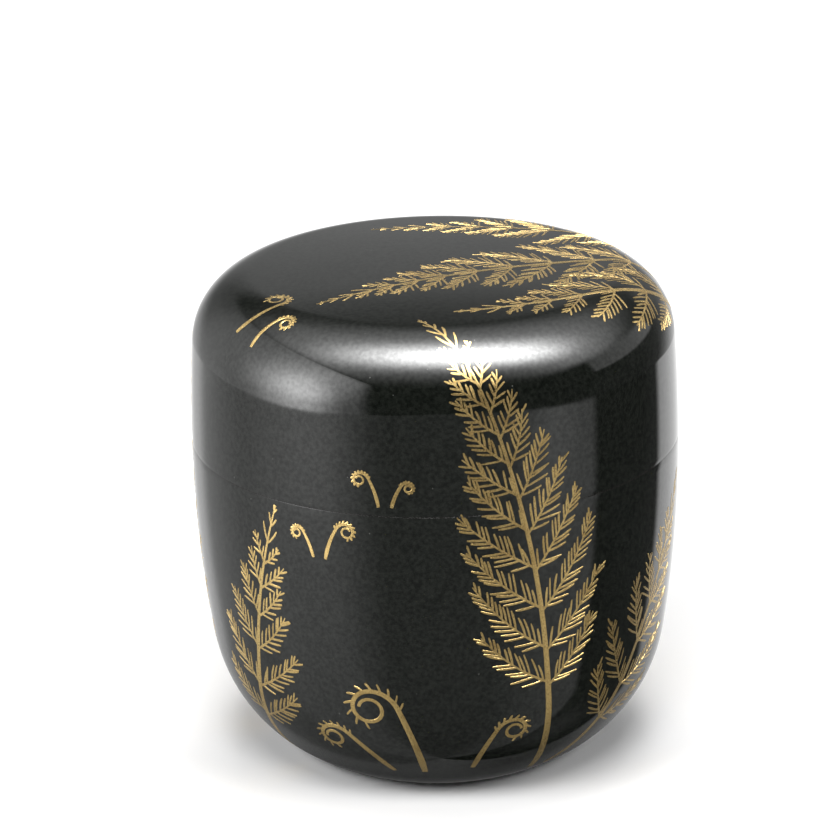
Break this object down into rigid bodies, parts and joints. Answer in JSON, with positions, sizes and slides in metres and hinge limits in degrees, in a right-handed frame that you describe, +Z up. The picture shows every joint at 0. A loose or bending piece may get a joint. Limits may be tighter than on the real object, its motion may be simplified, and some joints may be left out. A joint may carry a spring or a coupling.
{
  "type": "tea caddy",
  "caption": "Round lacquered tea caddy for powdered tea, with a lift-off lid that drops over an upstand and closes flush with the body.",
  "frame": {"origin": "centre of the foot, on the surface that the caddy stands on", "axes": "+Z up along the turning axis, -Y the side that faces the viewer in the picture, +X to the viewer's right"},
  "size_m": [0.066, 0.066, 0.0675],
  "materials": {
    "outer_lacquer": "polished",
    "lining_lacquer": "gloss",
    "turned_wood": "matte",
    "gold_powder": "satin"
  },
  "bodies": {
    "body": {"body_wood_core": "turned_wood", "body_outer_lacquer": "outer_lacquer", "body_lining_lacquer": "lining_lacquer"},
    "lid": {"lid_wood_core": "turned_wood", "lid_outer_lacquer": "outer_lacquer", "lid_lining_lacquer": "lining_lacquer"}
  },
  "joints": [
    {"name": "lid_lift", "type": "slide", "parent": "body", "child": "lid", "axis": [0, 0, 1], "range_m": [0, 0.05]}
  ]
}
